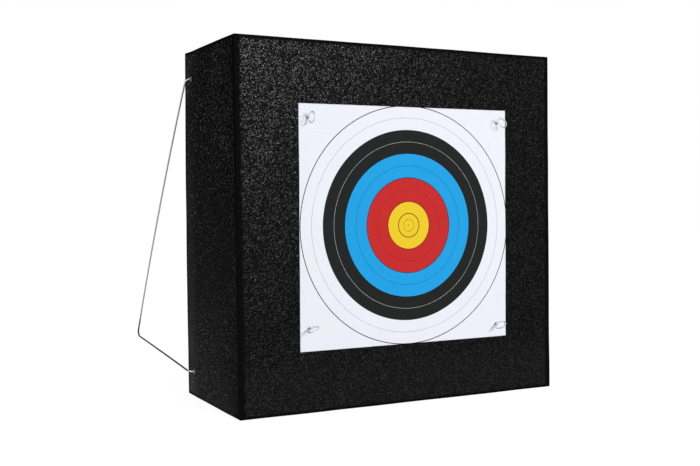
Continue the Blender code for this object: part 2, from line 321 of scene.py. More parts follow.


# %% [markdown]
# ## The floor
#
# The floor isn't part of the target. Most of what the camera sees of it is a plain white glow, and a thin
# share is ordinary paint, which lets the soft shadow under the block show. What it gives to the things on it
# is a much weaker glow.
#
# The foot of the foam's left side is a little lighter in the photograph, as if a white sheet threw light up.
# A pool of stronger glow does that. The camera doesn't see it, as it counts only for light on things, and it
# ends behind the plane of the front face, so the paper stays evenly lit.

# %% A white floor that keeps a faint shadow
FLOOR_HALF = 12.0
FLOOR_DROP = 0.0004
FLOOR_GLOW = 0.92
FLOOR_GLOW_ON_THINGS = 0.38
FLOOR_PAINT = 0.30
POOL_CENTRE = (-0.46, 0.02, 0.0)
POOL_CORE = 0.135
POOL_RADIUS = 0.45
POOL_FRONT = (-0.15, -0.11)
POOL_GLOW = 4.8

corners = np.array([[-1, -1, 0], [1, -1, 0], [1, 1, 0], [-1, 1, 0]]) * FLOOR_HALF
floor = new_mesh("floor", corners - [0, 0, FLOOR_DROP], [np.array([[0, 1, 2, 3]])], closed=False)
ground = Finish("white floor")
paint = ground.node("BsdfDiffuse", inputs={"Color": (FLOOR_PAINT,) * 3 + (1.0,)})
here = ground.place(POOL_CENTRE)
from_pool = ground.node("VectorMath", {"operation": "LENGTH"}, {0: here}, output="Value")
behind_face = ground.split(here)[1].rise(*POOL_FRONT)
pool = from_pool.rise(POOL_CORE, POOL_RADIUS, 1.0, 0.0) * behind_face
on_things = pool * (POOL_GLOW - FLOOR_GLOW_ON_THINGS) + FLOOR_GLOW_ON_THINGS
looks = looks_directly(ground)
strength = looks * FLOOR_GLOW + (1 - looks) * on_things
glow = ground.node("Emission", inputs={"Strength": strength})
floor.data.materials.append(ground.surface(ground.node("AddShader", inputs={0: paint, 1: glow})))

# %% [markdown]
# ## Sizes that several pieces share
#
# The wires, the pins and their holes have to agree, so their places are named once, as in the solid model.
# A pin is given by the x and z of its shaft and by its turn about it, since no two of the four were pushed
# in the same way round. A hole's mouth is the middle of its opening.

# %% Shared sizes
BLOCK_HALF_WIDTH = 0.300
BLOCK_HALF_DEPTH = 0.127
BLOCK_HEIGHT = 0.600

PAPER_SIZE = 0.400
PAPER_THICKNESS = 0.0004
PAPER_CENTRE = (0.0055, 0.299)
PAPER_FRONT = -0.1277

PIN_HOLE_RADIUS = 0.0018
PIN_HOLE_DEPTH = 0.0570
PIN_SEAT = -0.1280
PINS = {
    "pin_top_left": (-0.1790, 0.4750, radians(88)),
    "pin_top_right": (0.1860, 0.4760, radians(-62)),
    "pin_bottom_left": (-0.1790, 0.1375, radians(28)),
    "pin_bottom_right": (0.1830, 0.1225, radians(42)),
}

LEGS = {-1: "leg_left", 1: "leg_right"}
WIRE_RADIUS = 0.0015
WIRE_IN_FOAM = 0.080
WIRE_HOLE_RADIUS = 0.0018
WIRE_HOLE_DEPTH = 0.082
WIRE_HOLE_Y = 0.089
WIRE_HOLES_Z = {"top": 0.554, "bottom": 0.046}

PIN_MOUTHS = [(x, -BLOCK_HALF_DEPTH, z) for x, z, _ in PINS.values()]
WIRE_MOUTHS = [(side * BLOCK_HALF_WIDTH, WIRE_HOLE_Y, z) for side in LEGS for z in WIRE_HOLES_Z.values()]

lowest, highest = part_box("foam_block")
print("foam block:", [round(c, 4) for c in highest - lowest])

# %% [markdown]
# ## The foam block: one continuous skin
#
# The block is moulded closed-cell foam. Its faces are covered in small rounded granules, and the edges,
# where the mould was smooth, show as plain dark bands. A bevelled cube with a bumpy texture would give the
# colour, but its outline would be ruler straight and its holes would need cutting. So the skin is the
# surface of a lattice: a box-shaped stack of points, numbered by column, row and layer, of which only the
# outside ones are kept. Neighbouring faces share their edge points, so there is no seam. Each point is then
# moved: rounded at the edges, pressed in between the granules, and drawn into a hole for a pin or a wire.

# %% Smooth steps, directions and soft waves
def smooth_step(values):
    """0 below 0, 1 above 1, and between them the S-shaped curve 3t² - 2t³."""
    t = np.clip(values, 0.0, 1.0)
    return t * t * (3 - 2 * t)


def unit(vectors):
    """Each vector at length 1."""
    return vectors / np.linalg.norm(vectors, axis=-1, keepdims=True)


def soft_waves(points, length, seed, count=7):
    """Gentle random hills from -1 to 1: the mean of a few plane waves in random directions.

    Each wave is the sine of the point's distance along its direction, divided by about the wave length.
    """
    draw = np.random.default_rng(seed)
    ways = draw.normal(size=(count, 3))
    ways *= (2 * pi / length) * draw.uniform(0.6, 1.5, (count, 1)) / np.linalg.norm(ways, axis=1)[:, None]
    return np.sin(points @ ways.T + draw.uniform(0, 2 * pi, count)).mean(axis=1)


# %% Granules
CELL_PRIMES = np.array([73856093, 19349663, 83492791])
SEED_PRIME = 2654435761
SHIFT_PRIME = 374761393
MIX_PRIMES = (2246822519, 3266489917)
WORD = 0xFFFFFFFF
SHORT_WORD = 0xFFFFFF
GRANULE_SIZE = 0.0048
GRANULE_STEEPNESS = 1.8


def scattered(cells, seed):
    """Three numbers from 0 to 1 for each whole-numbered cell, by mixing its numbers as a hash does."""
    mixed = cells @ CELL_PRIMES + seed * SEED_PRIME
    made = []
    for shift in range(3):
        value = (mixed + shift * SHIFT_PRIME) & WORD
        value = ((value ^ (value >> 15)) * MIX_PRIMES[0]) & WORD
        value = ((value ^ (value >> 13)) * MIX_PRIMES[1]) & WORD
        made.append(((value ^ (value >> 16)) & SHORT_WORD) / SHORT_WORD)
    return np.stack(made, axis=-1)


def granules(points, size, seed):
    """The height of a field of granules at each point, from 0 in the joints to about 1 on the crowns.

    Space is cut into cubes, and each cube holds one centre, scattered within it. The height is the distance
    to the second nearest centre less the distance to the nearest, which is nothing half-way between two.
    """
    scaled = points / size
    cells = np.floor(scaled).astype(np.int64)
    nearest = np.full(len(points), 9.0)
    second = np.full(len(points), 9.0)
    for step in np.ndindex(3, 3, 3):
        neighbours = cells + np.array(step) - 1
        distance = np.linalg.norm(neighbours + scattered(neighbours, seed) - scaled, axis=1)
        second = np.minimum(second, np.maximum(nearest, distance))
        nearest = np.minimum(nearest, distance)
    return np.clip((second - nearest) * GRANULE_STEEPNESS, 0.0, 1.0)


print("granule height at the origin:", granules(np.zeros((1, 3)), GRANULE_SIZE, 5).round(2))

# %% The lattice of the block's skin
SKIN_STEP = 0.0022
ROUND_X = 0.0026
ROUND_Y = 0.0026
ROUND_TOP = 0.0018
ROUND_BOTTOM = 0.0020
ROUND_STEPS = 4


def knots(low, high, round_low, round_high):
    """Coordinates along one side: even steps in the flat part, and in the rounded ends steps that grow as
    a tangent, because those become equal turns of the arc."""
    turns = np.tan(np.linspace(0, pi / 4, ROUND_STEPS + 1))[1:]
    steps = round((high - low) / SKIN_STEP)
    flat = np.linspace(low + round_low, high - round_high, steps)
    return np.concatenate([flat[0] - round_low * turns[::-1], flat, flat[-1] + round_high * turns])


skin_knots = [
    knots(-BLOCK_HALF_WIDTH, BLOCK_HALF_WIDTH, ROUND_X, ROUND_X),
    knots(-BLOCK_HALF_DEPTH, BLOCK_HALF_DEPTH, ROUND_Y, ROUND_Y),
    knots(0.0, BLOCK_HEIGHT, ROUND_BOTTOM, ROUND_TOP),
]
print("knots along the width, depth and height:", [len(k) for k in skin_knots])


# %% The six faces of the lattice
def lattice_skin(counts):
    """Numbers of the outside points of a lattice, (n, 3), and the squares of its six faces, (m, 4).

    Each face is a grid of number triples. A triple that two or three faces share is kept only once.
    """
    triples, squares = [], []
    for axis in range(3):
        across, along = (axis + 1) % 3, (axis + 2) % 3
        for end in (0, 1):
            face = np.zeros((counts[across], counts[along], 3), np.int64)
            face[..., axis] = end * (counts[axis] - 1)
            face[..., across], face[..., along] = np.indices(face.shape[:2])
            numbers = grid_faces(counts[across], counts[along]) + sum(map(len, triples))
            triples.append(face.reshape(-1, 3))
            squares.append(numbers if end == 0 else numbers[:, ::-1])
    triples, squares = np.concatenate(triples), np.concatenate(squares)
    keys = (triples[:, 0] * counts[1] + triples[:, 1]) * counts[2] + triples[:, 2]
    _, kept, number = np.unique(keys, return_index=True, return_inverse=True)
    return triples[kept], number.reshape(-1)[squares]


skin_numbers, skin_squares = lattice_skin([len(k) for k in skin_knots])
skin_box = np.stack([skin_knots[axis][skin_numbers[:, axis]] for axis in range(3)], axis=1)
print("skin:", len(skin_box), "points,", len(skin_squares), "squares")

# %% [markdown]
# ### Rounded edges
#
# A point on the box is compared with the nearest point of a smaller box inside it, whose sides lie one
# rounding radius further in. The two differ in one direction in the middle of a face, in two near an edge and
# in three near a corner. Shrinking that difference to length 1, after dividing each direction by its own
# radius, lays it on an arc.
#
# The smooth bands are wider than the rounding. A point's distances to the sides of the block are divided by
# the widths of their bands. The smallest of the three belongs to the point's own face, so the middle one
# says how far it is from an edge, and below 1 it lies in a band.

# %% Round the box
low_core = np.array([k[ROUND_STEPS] for k in skin_knots])
high_core = np.array([k[-ROUND_STEPS - 1] for k in skin_knots])
nearest_core = np.clip(skin_box, low_core, high_core)
radii = np.array([ROUND_X, ROUND_Y, ROUND_BOTTOM]) * np.ones_like(skin_box)
radii[skin_box[:, 2] > BLOCK_HEIGHT / 2, 2] = ROUND_TOP
reach = (skin_box - nearest_core) / radii
direction = unit(reach)
skin = nearest_core + direction * radii
outward = unit(direction / radii)

BAND_WIDTHS = np.array([0.0094, 0.0076, 0.0050])
BAND_BLUR = 0.25
BAND_RAGGED = 0.30

from_sides = np.minimum(skin_box - skin_box.min(0), skin_box.max(0) - skin_box) / BAND_WIDTHS
from_edge = np.sort(from_sides, axis=1)[:, 1]
print("points in the plain bands:", int((from_edge < 1).sum()))

# %% [markdown]
# ### Not quite square
#
# Foam is moulded warm and shrinks as it cools. The corners of this block are up to 5 mm away from those of
# a true box, as its edges in the photograph show. Each corner's shift is spread over the block by weights
# that fall off evenly along each side, and the left side swells a little at half height. All of it dies out
# round the washers, which lie flat on the foam.

# %% Skew the corners
CORNER_SHIFTS = {
    ("left", "front", "top"): (-0.0027, 0.0012),
    ("right", "front", "top"): (-0.0005, -0.0008),
    ("left", "front", "bottom"): (0.0018, 0.0),
    ("right", "front", "bottom"): (0.0048, 0.0),
    ("left", "back", "top"): (0.0006, 0.0034),
    ("left", "back", "bottom"): (0.0004, 0.0010),
}
BARREL = 0.0014
FLAT_RADIUS = 0.010
FLAT_FADE = 0.050

share = (skin - skin.min(0)) / np.ptp(skin, axis=0)
x, y, z = share.T
weights = {"left": 1 - x, "right": x, "front": 1 - y, "back": y, "bottom": 1 - z, "top": z}
skew = np.zeros_like(skin)
for (side, end, level), (shift_x, shift_z) in CORNER_SHIFTS.items():
    corner_weight = weights[side] * weights[end] * weights[level]
    skew += corner_weight[:, None] * [shift_x, 0.0, shift_z]
skew[:, 0] -= BARREL * weights["left"] * weights["back"] * np.sin(pi * z)


def distance_from(mouths, points):
    """How far each point is from the nearest of the mouths."""
    return np.linalg.norm(points[:, None] - np.array(mouths), axis=2).min(axis=1)


from_pins, from_wires = distance_from(PIN_MOUTHS, skin), distance_from(WIRE_MOUTHS, skin)
flat_round_pins = smooth_step((from_pins - FLAT_RADIUS) / FLAT_FADE)
flat_round_washers = smooth_step((from_wires - FLAT_RADIUS) / FLAT_FADE)
skin = skin + skew * flat_round_washers[:, None]
print("largest shift:", round(float(np.abs(skew).max() * 1000), 1), "mm")

# %% Press in the joints between granules
GRANULE_DEPTH = 0.00055
STIR_DEPTH = 0.0012
STIR_LENGTH = 0.012
RAGGED_LENGTH = 0.016
CALM_RADIUS = 0.005
CALM_FADE = 0.006
WAVE_LENGTH = 0.110
WAVE_DEPTH = 0.0005

stir = np.stack([soft_waves(skin, STIR_LENGTH, seed) for seed in (11, 12, 13)], axis=1)
granule_height = granules(skin + STIR_DEPTH * stir, GRANULE_SIZE, 5)
ragged = from_edge + BAND_RAGGED * soft_waves(skin, RAGGED_LENGTH, 41)
moulded = smooth_step((1 - ragged) / BAND_BLUR + 0.5)
calm_near_holes = smooth_step((np.minimum(from_pins, from_wires) - CALM_RADIUS) / CALM_FADE)
pitted = (1 - moulded) * calm_near_holes
hills = soft_waves(skin, WAVE_LENGTH, 21) * flat_round_pins * flat_round_washers
depth = GRANULE_DEPTH * pitted * (1 - granule_height) + WAVE_DEPTH * hills
skin = skin - outward * depth[:, None]
print("deepest joint:", round(float(depth.max() * 1000), 2), "mm")

# %% [markdown]
# ### Holes
#
# A hole in the skin needs no cutting. The lattice point nearest to its middle and the rings of points round
# that become its floor, and the next rings its wall and mouth. A ring of a square grid is itself a square,
# and a formula lays it on a circle: on a square that reaches from -1 to 1, x becomes x times the root of
# 1 - y²/2, and y likewise.

# %% Draw the lattice into holes
HOLE_RINGS = [0, 1, 2, 3, 4]
HOLE_REACH = 11
HOLE_FLARE = 0.0003
HOLE_LIP = 0.0004


def rings_round(offset):
    """Each point's ring, counted from the middle, and its place on a circle of radius 1 by the formula."""
    ring = np.abs(offset).max(axis=1)
    square = offset / np.maximum(ring, 1)[:, None]
    return ring, square * np.sqrt(1 - square[:, ::-1] ** 2 / 2)


def draw_into_hole(points, numbers, axis, mouth, radius, depth):
    """Draw the points of the face that the axis crosses into a round blind hole at its mouth.

    Rings 0 to 2 make the floor, ring 3 the wall and ring 4 the mouth. From there to ring 11 the circle is
    blended back into the grid.
    """
    across = [other for other in range(3) if other != axis]
    centre = np.array(mouth)[across]
    inwards = -np.sign(mouth[axis])
    on_face = numbers[:, axis] == (0 if inwards > 0 else numbers[:, axis].max())
    gap = np.linalg.norm(points[:, across] - centre, axis=1)
    middle = numbers[np.where(on_face, gap, np.inf).argmin()]
    ring, circle = rings_round((numbers - middle)[:, across])
    near = on_face & (ring <= HOLE_REACH)
    ring, circle, moved = ring[near], circle[near], points[near]
    widths = [0, radius / 2, radius, radius, radius + HOLE_FLARE, SKIN_STEP * HOLE_REACH]
    wide = np.interp(ring, HOLE_RINGS + [HOLE_REACH], widths)[:, None]
    back = smooth_step((ring - 4) / (HOLE_REACH - 4))[:, None]
    moved[:, across] = (centre + circle * wide) * (1 - back) + moved[:, across] * back
    moved[:, axis] += inwards * np.interp(ring, HOLE_RINGS, [depth, depth, depth, HOLE_LIP, 0.0])
    points[near] = moved


for mouth in PIN_MOUTHS:
    draw_into_hole(skin, skin_numbers, 1, mouth, PIN_HOLE_RADIUS, PIN_HOLE_DEPTH)
for mouth in WIRE_MOUTHS:
    draw_into_hole(skin, skin_numbers, 0, mouth, WIRE_HOLE_RADIUS, WIRE_HOLE_DEPTH)
print("holes:", len(PIN_MOUTHS), "for pins and", len(WIRE_MOUTHS), "for wires")

# %% The foam piece and what its finish reads
foam = new_mesh("foam_block_skin", skin, [skin_squares])
for name, values in {"granule": granule_height * pitted, "band": moulded}.items():
    layer = foam.data.attributes.new(name, "FLOAT", "POINT")
    layer.data.foreach_set("value", values.astype(np.float32))

# %% [markdown]
# ### The foam's finish
#
# Black foam gives back about one hundredth of the light, so most of what the eye sees is the fine sheen of
# its skin. Its pebbles are the cells of a Voronoi texture, about 2 mm across: the distance from the middle of
# a cell, turned round, makes a crown with dark joints, and each cell's own random number makes it dull or
# bright. A noise stirs the place first, so that not all pebbles are round.
#
# A usual plastic shader turns into a mirror at grazing angles, which would paint the foam's side white in
# this room. Real granules hide each other, so the shine is a separate rough mirror, mixed with a matt base
# by a share that follows the square of the grain.
#
# On the sides, more than 292 mm from the middle plane, the bright pebbles come in tufts, which grow towards
# the back, so the colour is paler and the shine stronger there, as painted light. The foot of the front and
# the back of the sides are also painted paler, as painted light. Each climb below holds the values where it
# starts and ends, then what it starts and ends with.

# %% Black foam
DARK_FOAM = (0.0042, 0.0042, 0.0042, 1.0)
GREY_FOAM = (0.0070, 0.0070, 0.0069, 1.0)
PALE_FOAM = (0.0085, 0.0085, 0.0083, 1.0)
# A paler foam colour that stands for light: painted light.
PAINTED_LIGHT_FOAM = (0.0125, 0.0125, 0.0123, 1.0)
PEBBLES, SWIRLS, TUFTS, PATCHES = 480.0, 420.0, 260.0, 14.0   # of them to a metre
STIR = 0.0016
SIDE_CLIMB = (0.2920, 0.2965)
TUFT_CLIMB = (0.38, 0.62, 0.22, 1.62)
BACK_PAINTED_LIGHT_CLIMB = (-0.13, 0.13, 0.82, 1.04)
CROWN_CLIMB = (0.20, 0.75, 1.0, 0.0)
LOT_CLIMB = (0.0, 1.0, 0.2, 1.5)
LUMP_CLIMB = (0.0, 0.6, 0.8, 1.0)
PATCH_CLIMB = (0.3, 0.7)
SIDE_PAINTED_LIGHT_CLIMB = (0.06, 0.12, 0.0, 0.95)
FRONT_PAINTED_LIGHT_CLIMB = (0.05, 0.11, 0.36, 0.0)
DULL_BAND = 0.80
PEBBLE_DEPTH = 0.0008
SHINE = 0.0152
LEAST_SHINE = 0.0003

coat = Finish("black granular foam")
here = coat.place()
granule = coat.node("Attribute", {"attribute_name": "granule"}, output="Fac")
band = coat.node("Attribute", {"attribute_name": "band"}, output="Fac")
swirl = coat.node("TexNoise", inputs={"Vector": here, "Scale": SWIRLS, "Detail": 0.0}, output="Color")
stirred = coat.node("VectorMath", {"operation": "MULTIPLY_ADD"}, {0: swirl, 1: (STIR,) * 3, 2: here})
away = coat.node("TexVoronoi", inputs={"Vector": stirred, "Scale": PEBBLES})
lot = coat.node("SeparateColor", inputs={0: Socket(coat, away.output.node.outputs["Color"])})
patches = coat.noise(here, PATCHES, detail=3.0)
across, along, up = coat.split(here)
on_side = abs(across).rise(*SIDE_CLIMB)
# The tufts grow towards the back of the sides, which is painted light: paler colour and stronger shine there.
tufts = coat.noise(here, TUFTS, detail=0.0).rise(*TUFT_CLIMB) * along.rise(*BACK_PAINTED_LIGHT_CLIMB)
crown = away.rise(*CROWN_CLIMB)
thinned = (1 - on_side) + on_side * tufts
grain = crown * lot.rise(*LOT_CLIMB) * thinned * granule.rise(*LUMP_CLIMB) * (1 - band * DULL_BAND)
bumped = coat.bump(crown, PEBBLE_DEPTH, 0.10)
light_grain = coat.blend(patches.rise(*PATCH_CLIMB), GREY_FOAM, PALE_FOAM)
dark_and_light = coat.blend(grain.minimum(1.0), DARK_FOAM, light_grain)
# Paler colour at the foot of the front and at the back of the sides: painted light.
painted_light = on_side * along.rise(*SIDE_PAINTED_LIGHT_CLIMB) + (1 - on_side) * up.rise(*FRONT_PAINTED_LIGHT_CLIMB)
with_painted_light = coat.blend(painted_light * (1 - band), dark_and_light, PAINTED_LIGHT_FOAM)
matt = coat.node("BsdfPrincipled", inputs={
    "Base Color": with_painted_light, "Roughness": 0.95, "Specular IOR Level": 0.0, "Normal": bumped,
})
sheen = coat.node("BsdfAnisotropic", inputs={"Color": WHITE, "Roughness": 0.26, "Normal": bumped})
shine = grain * grain * SHINE + LEAST_SHINE * (1 - band)
foam_shader = coat.node("MixShader", inputs={0: shine, 1: matt, 2: sheen})
dress(foam, coat.surface(foam_shader), "block", "foam_block")
print("foam finish:", len(coat.tree.nodes), "nodes")

# %% [markdown]
# ## The paper face
#
# The face is a sheet of stout paper, 400 mm square. It is held at four points only, so a flat box would look
# too stiff. A grid of points is lifted by gentle waves that die out at each pin, and Solidify then gives it
# its thickness. Closer steps along the borders leave room for the round pin holes: the squares inside a hole
# are simply left out.

# %% The sizes of the sheet
PAPER_BORDER = 0.042
PAPER_FINE_STEP = 0.0015
PAPER_STEP = 0.004
PAPER_LIFT = 0.0010
PAPER_WAVE = 0.150
PAPER_FLAT_RADIUS = 0.006
PAPER_FLAT_FADE = 0.080
PAPER_HOLE_REACH = 8
TRIM_START, TRIM_FADE = 0.47, 0.03   # shares of the sheet
PAPER_TRIMS = {
    (0, 1): (0.0, -0.0010), (1, 1): (-0.0014, -0.0002), (0, 0): (0.0, 0.0012), (1, 0): (-0.0004, 0.0016),
}


def paper_knots(centre):
    """Coordinates across the sheet: fine steps along both borders and wider ones between them."""
    half = PAPER_SIZE / 2
    border = np.linspace(0, PAPER_BORDER, round(PAPER_BORDER / PAPER_FINE_STEP) + 1)
    inner = half - PAPER_BORDER
    middle = np.linspace(-inner, inner, round(2 * inner / PAPER_STEP) + 1)
    return centre + np.concatenate([border - half, middle[1:-1], half - border[::-1]])


# %% Lift, punch and trim the sheet
def paper_sheet():
    """Points and squares of the front of the sheet.

    A point stands out by the lift, times waves between 0 and 1, times a smooth climb away from the nearest
    pin. Ring 1 round each pin is laid on the hole's circle, and the rings up to 8 lead back into the grid.
    The sheet wasn't cut quite square: each corner is off by its trim, which fades inwards over 12 mm.
    """
    across, up = paper_knots(PAPER_CENTRE[0]), paper_knots(PAPER_CENTRE[1])
    numbers = np.indices((len(up), len(across))).reshape(2, -1).T
    flat = np.stack([across[numbers[:, 1]], up[numbers[:, 0]]], axis=1)
    open_points = np.zeros(len(flat), bool)
    lift = np.ones(len(flat))
    for x, z, _ in PINS.values():
        away = np.linalg.norm(flat - [x, z], axis=1)
        lift *= smooth_step((away - PAPER_FLAT_RADIUS) / PAPER_FLAT_FADE)
        ring, circle = rings_round((numbers - numbers[away.argmin()])[:, ::-1])
        near = ring <= PAPER_HOLE_REACH
        wide = PIN_HOLE_RADIUS + (ring - 1) * PAPER_FINE_STEP
        back = smooth_step((ring - 1) / (PAPER_HOLE_REACH - 1))[:, None]
        laid = ([x, z] + circle * wide[:, None]) * (1 - back) + flat * back
        flat[near] = laid[near]
        open_points |= ring == 0
    share = (flat - PAPER_CENTRE) / PAPER_SIZE + 0.5
    at_border = smooth_step((np.abs(share - 0.5).max(axis=1) - TRIM_START) / TRIM_FADE)
    for (right, top), trim in PAPER_TRIMS.items():
        weight = np.abs(1 - right - share[:, 0]) * np.abs(1 - top - share[:, 1]) * at_border
        flat = flat + weight[:, None] * trim
    points = np.stack([flat[:, 0], np.full(len(flat), PAPER_FRONT), flat[:, 1]], axis=1)
    points[:, 1] -= PAPER_LIFT * lift * (0.5 + 0.9 * soft_waves(points, PAPER_WAVE, 31)).clip(0, 1)
    squares = grid_faces(len(up), len(across))
    squares = squares[~open_points[squares].any(axis=1)]
    kept, numbered = np.unique(squares, return_inverse=True)
    return points[kept], numbered.reshape(squares.shape)


paper_points, paper_squares = paper_sheet()
paper = new_mesh("paper_face", paper_points, [paper_squares], closed=False)
thickness = paper.modifiers.new("thickness", "SOLIDIFY")
thickness.thickness = PAPER_THICKNESS
thickness.offset = -1.0

# %% [markdown]
# ### The print
#
# The traditional ten-ring face has five colours of two rings each, and every ring is 20 mm wide on a 400 mm
# sheet. A picture would blur from close up, so it is drawn by arithmetic with the distance from the centre:
# a colour begins where the distance passes a radius, and a line shows where the distance differs from its
# radius by less than half its width.

# %% Ink on paper
RING_CENTRE = (0.0066, PAPER_FRONT, 0.3002)
WHITE_PAPER = srgb(239, 241, 249)
INKS = [(0.040, srgb(201, 48, 47)), (0.080, srgb(37, 164, 230)), (0.120, srgb(37, 38, 38)),
        (0.160, WHITE_PAPER)]
GOLD = srgb(241, 206, 48)
LINE_BLACK = srgb(30, 30, 32)
LINES = [
    (0.010, 0.00055, LINE_BLACK), (0.020, 0.00130, LINE_BLACK), (0.040, 0.0011, LINE_BLACK),
    (0.060, 0.00036, LINE_BLACK), (0.080, 0.0011, LINE_BLACK), (0.100, 0.00045, LINE_BLACK),
    (0.140, 0.00028, WHITE_PAPER), (0.180, 0.00036, LINE_BLACK), (0.200, 0.0014, LINE_BLACK),
]
INK_EDGE = 0.00012
CROSS_HALF = 0.0020
CROSS_EDGE = 0.0002
CROSS_WIDTH = 0.0003
FIBRES, CLOUDS = 900.0, 28.0   # of them to a metre
FIBRE_SHARE = 0.35
SHADED_PAPER = (0.97, 0.97, 0.98, 1.0)
TOOTH_DEPTH = 0.00008

inked = Finish("printed paper")
here = inked.place(RING_CENTRE)
across, _, up = inked.split(here)
flat_place = inked.node("CombineXYZ", inputs={"X": across, "Z": up})
radius = inked.node("VectorMath", {"operation": "LENGTH"}, {0: flat_place}, output="Value")
colour = GOLD
for start, ink in INKS:
    colour = inked.blend(radius.rise(start - INK_EDGE, start + INK_EDGE), colour, ink)
for where, width, ink in LINES:
    on_line = abs(radius - where).rise(width / 2 - INK_EDGE, width / 2 + INK_EDGE, 1.0, 0.0)
    colour = inked.blend(on_line, colour, ink)
thin = [abs(way).rise(CROSS_WIDTH / 2, CROSS_WIDTH, 1.0, 0.0) for way in (across, up)]
short = [abs(way).rise(CROSS_HALF, CROSS_HALF + CROSS_EDGE, 1.0, 0.0) for way in (up, across)]
cross = thin[0] * short[0] + thin[1] * short[1]
colour = inked.blend(cross.minimum(1.0), colour, LINE_BLACK)
fibres = inked.noise(here, FIBRES, detail=4.0, roughness=0.6)
cloud = inked.noise(here, CLOUDS, detail=3.0)
shaded = (fibres * FIBRE_SHARE + cloud * (1 - FIBRE_SHARE)).rise(0.35, 0.85)
printed = inked.node("BsdfPrincipled", inputs={
    "Base Color": inked.blend(shaded, colour, SHADED_PAPER, "MULTIPLY"),
    "Roughness": fibres.rise(0.3, 0.7, 0.55, 0.7), "Specular IOR Level": 0.02,
    "Normal": inked.bump(fibres, TOOTH_DEPTH, 0.5),
})
dress(paper, inked.surface(printed), "face", "target_face")
print("print:", len(inked.tree.nodes), "nodes")

# %% [markdown]
# ## The loop pins
#
# Each pin is moulded from clear plastic. A pointed shaft in the foam, a thin collar that presses on the paper
# and a short neck are one profile turned about the pin's axis. An oval loop for a finger is a round bar
# carried along an oval. A Boolean joins the two into one skin, because clear plastic shows inner walls.

# %% Turned shapes and bars along a path
def turned(profile, sides):
    """Rings of a profile of (radius, height) points turned about Z: radius times cosine and sine."""
    angle = np.linspace(0, 2 * pi, sides, endpoint=False)
    radius, height = np.array(profile).T
    circle = np.stack([np.cos(angle), np.sin(angle), np.zeros(sides)], axis=1)
    return radius[:, None, None] * circle + height[:, None, None] * np.array([0.0, 0.0, 1.0])


def bar_rings(path, radius, sides, reference, closed=False):
    """Rings of a round bar along a path of points (n, 3).

    The tangent is the difference of each point's neighbours. The first cross direction is the reference
    with its part along the tangent taken away, the second is square to both, and a ring is their cosine
    and sine times the radius.
    """
    if closed:
        tangent = unit(np.roll(path, -1, axis=0) - np.roll(path, 1, axis=0))
    else:
        tangent = unit(np.gradient(path, axis=0))
    first = unit(reference - tangent * (tangent @ reference)[:, None])
    second = np.cross(tangent, first)
    angle = np.linspace(0, 2 * pi, sides, endpoint=False)
    circle = first[:, None] * np.cos(angle)[:, None] + second[:, None] * np.sin(angle)[:, None]
    return path[:, None] + circle * np.reshape(radius, (-1, 1, 1))


# %% The shape of one pin
SHAFT_RADIUS = 0.0015
SHAFT_LENGTH = 0.0560
POINT_LENGTH = 0.008
COLLAR_RADIUS = 0.0027
COLLAR_THICKNESS = 0.0010
NECK_LENGTH = 0.0025
NECK_RADIUS = 0.0009
LOOP_BAR_RADIUS = 0.0012
LOOP_HALF_WIDTH = 0.0098 - LOOP_BAR_RADIUS
LOOP_HALF_LENGTH = 0.0125 - LOOP_BAR_RADIUS
LOOP_BASE = COLLAR_THICKNESS + NECK_LENGTH + LOOP_BAR_RADIUS
SOFT_EDGE = 0.0003
LOOP_STEPS, LOOP_SIDES = 56, 16


def pin_shaft():
    """The turned part of a pin along Z, with its collar's seat at height 0 and softened edges."""
    profile = [
        (0.0002, LOOP_BASE), (NECK_RADIUS, LOOP_BASE), (NECK_RADIUS, 0.0022), (0.0012, 0.0014),
        (SHAFT_RADIUS + 0.0002, COLLAR_THICKNESS), (COLLAR_RADIUS - SOFT_EDGE, COLLAR_THICKNESS),
        (COLLAR_RADIUS, COLLAR_THICKNESS - SOFT_EDGE), (COLLAR_RADIUS, SOFT_EDGE),
        (COLLAR_RADIUS - SOFT_EDGE, 0.0), (SHAFT_RADIUS, 0.0), (SHAFT_RADIUS, -0.010), (SHAFT_RADIUS, -0.025),
        (SHAFT_RADIUS, POINT_LENGTH - SHAFT_LENGTH), (0.0009, -0.0520), (0.0003, -SHAFT_LENGTH),
    ]
    return capped_tube(turned(profile, 28))


def pin_loop():
    """The oval loop: width times the sine and length times the cosine of a full turn."""
    turn = np.linspace(0, 2 * pi, LOOP_STEPS, endpoint=False)
    path = np.stack([LOOP_HALF_WIDTH * np.sin(turn), np.zeros(LOOP_STEPS),
                     LOOP_BASE + LOOP_HALF_LENGTH * (1 - np.cos(turn))], axis=1)
    rings = bar_rings(path, LOOP_BAR_RADIUS, LOOP_SIDES, np.array([0.0, 1.0, 0.0]), closed=True)
    return rings.reshape(-1, 3), [grid_faces(LOOP_STEPS, LOOP_SIDES, wrap_rows=True, wrap_columns=True)]


def joined(first, second, name):
    """One mesh with the outer skin of two closed pieces, which are then removed."""
    union = first.modifiers.new("union", "BOOLEAN")
    union.operation = "UNION"
    union.solver = "EXACT"
    union.object = second
    bpy.context.view_layer.update()
    mesh = bpy.data.meshes.new_from_object(first.evaluated_get(bpy.context.evaluated_depsgraph_get()))
    mesh.name = name
    for used in (first, second):
        bpy.data.objects.remove(used, do_unlink=True)
    return mesh


pin_mesh = joined(new_mesh("shaft", *pin_shaft()), new_mesh("loop", *pin_loop()), "clear_pin")
print("one pin:", len(pin_mesh.polygons), "faces")

# %% [markdown]
# ### Clear plastic
#
# Seen against white paper the loops are almost invisible: only their edges are grey, where the bar bends
# the light sideways, and small spots shine. In a room that is white all round even the bent light is white,
# so the colour is darkened towards the edges by the Layer Weight node, which tells how far a surface turns
# away from the eye. A little roughness and a faint flow pattern stand for plastic that isn't polished.

# %% Clear plastic for the pins
HAZY_PLASTIC = (0.82, 0.83, 0.84, 1.0)
CLEAR_PLASTIC = (0.94, 0.95, 0.96, 1.0)
PLASTIC_EDGE = (0.16, 0.16, 0.17, 1.0)
FLOWS = 420.0
FLOW_DEPTH = 0.0004

